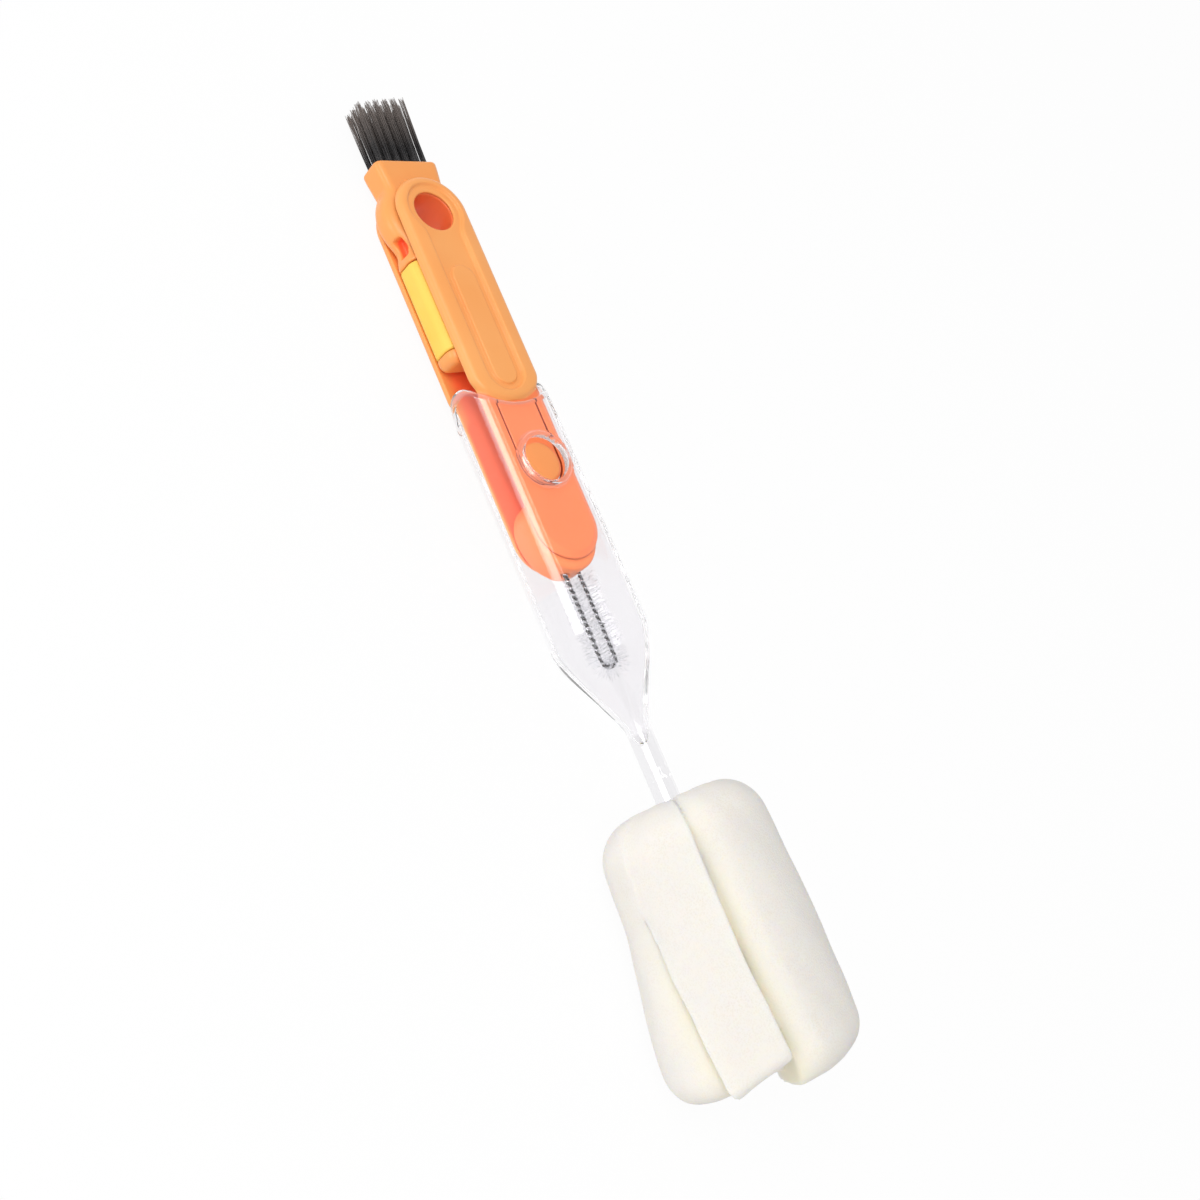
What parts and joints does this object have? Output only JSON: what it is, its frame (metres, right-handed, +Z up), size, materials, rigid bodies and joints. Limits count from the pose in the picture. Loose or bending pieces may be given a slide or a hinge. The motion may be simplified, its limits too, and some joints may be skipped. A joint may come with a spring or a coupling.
{
  "type": "cup brush",
  "caption": "Cup brush with a slit foam head on a clear hollow handle that stores a folding two-plate tool with a crevice brush and a twisted-wire loop brush.",
  "frame": {"origin": "bottom centre of the box of the brush as it lies on its back, button side up", "axes": "+X along the brush from the crevice bristles to the sponge, +Z up out of the front face, +Y across the front face"},
  "size_m": [0.2946, 0.0488, 0.0494],
  "materials": {
    "orange_shell": "satin moulded plastic, light orange",
    "orange_arm": "satin moulded plastic, orange",
    "yellow_grip": "soft matt moulded grip",
    "black_bristle": "stiff nylon bristles",
    "anchor_wire": "flat wire",
    "twisted_steel": "bright twisted wire",
    "clear_bristle": "fine clear nylon",
    "clear_plastic": "clear moulded plastic",
    "foam": "fine open foam"
  },
  "bodies": {
    "tool": {"front_plate": "orange_shell", "back_plate": "orange_shell", "pivot_tube": "orange_shell", "loop_pin": "orange_shell"},
    "handle": {"clear_handle": "clear_plastic", "sponge_head": "foam"},
    "latch": {"latch_tongue": "orange_shell"},
    "crevice_brush": {"brush_arm": "orange_arm", "grip_sleeve": "yellow_grip", "tuft_row_back": "black_bristle", "tuft_row_middle": "black_bristle", "tuft_row_front": "black_bristle", "tuft_anchor_back_1": "anchor_wire", "tuft_anchor_back_2": "anchor_wire", "tuft_anchor_back_3": "anchor_wire", "tuft_anchor_back_4": "anchor_wire", "tuft_anchor_back_5": "anchor_wire", "tuft_anchor_back_6": "anchor_wire", "tuft_anchor_middle_1": "anchor_wire", "tuft_anchor_middle_2": "anchor_wire", "tuft_anchor_middle_3": "anchor_wire", "tuft_anchor_middle_4": "anchor_wire", "tuft_anchor_middle_5": "anchor_wire", "tuft_anchor_middle_6": "anchor_wire", "tuft_anchor_front_1": "anchor_wire", "tuft_anchor_front_2": "anchor_wire", "tuft_anchor_front_3": "anchor_wire", "tuft_anchor_front_4": "anchor_wire", "tuft_anchor_front_5": "anchor_wire", "tuft_anchor_front_6": "anchor_wire"},
    "loop_brush": {"loop_hub": "orange_arm", "loop_wire_a": "twisted_steel", "loop_wire_b": "twisted_steel", "loop_bristles": "clear_bristle"}
  },
  "joints": [
    {"name": "handle_slide", "type": "slide", "parent": "tool", "child": "handle", "axis": [0.9974, 0, 0.0717], "range_m": [0, 0.095]},
    {"name": "latch_press", "type": "hinge", "parent": "tool", "child": "latch", "pos_m": [-0.04354, 0.00079, 0.01866], "axis": [0, -1, 0], "range_deg": [0, 2], "stiffness_Nm_per_rad": 0.01, "springref_deg": 2},
    {"name": "crevice_brush_swing", "type": "hinge", "parent": "tool", "child": "crevice_brush", "pos_m": [-0.10518, 0.00079, 0.00861], "axis": [-0.0717, 0, 0.9974], "continuous": true},
    {"name": "loop_brush_swing", "type": "hinge", "parent": "tool", "child": "loop_brush", "pos_m": [-0.00843, 0.00079, 0.01557], "axis": [-0.0717, 0, 0.9974], "range_deg": [-2, 2]}
  ]
}
